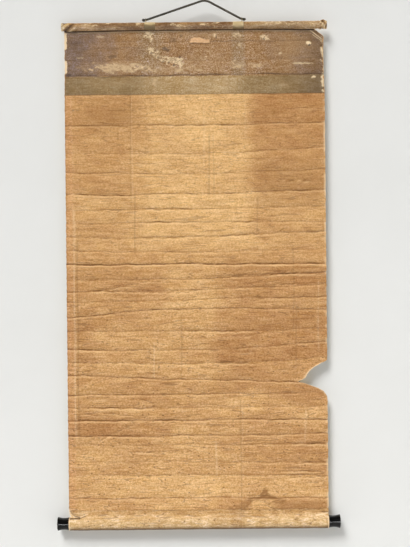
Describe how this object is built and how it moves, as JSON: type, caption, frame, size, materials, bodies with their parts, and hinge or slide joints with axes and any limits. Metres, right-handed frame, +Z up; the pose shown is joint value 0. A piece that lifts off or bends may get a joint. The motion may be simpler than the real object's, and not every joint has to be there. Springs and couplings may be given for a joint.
{
  "type": "hanging scroll",
  "caption": "Old hanging scroll: a creased, torn paper and silk sheet between a half-round top stave and a round bottom roller with black end knobs, hung by a cord from eyelets.",
  "frame": {"origin": "the point where the bend of the hanging cord bears on its hook", "axes": "+Z up, with the scroll hanging towards -Z; -Y is the lined back that the picture shows, +Y the painted front; +X to the right seen from the back"},
  "size_m": [0.6562, 0.032, 1.2225],
  "materials": {
    "lining_paper": "aged tan lining paper, matte, creased",
    "cover_silk": "worn brown silk with an olive lower strip",
    "wood": "plain unvarnished softwood",
    "sleeve_silk": "rubbed brown silk",
    "wrap_paper": "pale foxed paper, matte",
    "black_lacquer": "black gloss lacquer on turned wood",
    "eyelet_metal": "dull aged metal wire",
    "cord": "dark braided cord",
    "band_silk": "pale straw silk"
  },
  "bodies": {
    "root": {"sheet": "lining_paper", "cover_silk": "cover_silk", "stave": "wood", "stave_sleeve": "sleeve_silk", "roller": "wood", "roller_wrap": "wrap_paper", "knob_left": "black_lacquer", "knob_right": "black_lacquer", "eyelet_left": "eyelet_metal", "eyelet_right": "eyelet_metal", "hanging_cord": "cord", "cord_knot_left": "cord", "cord_knot_right": "cord", "wind_band_left": "band_silk", "wind_band_right": "band_silk"}
  },
  "joints": []
}
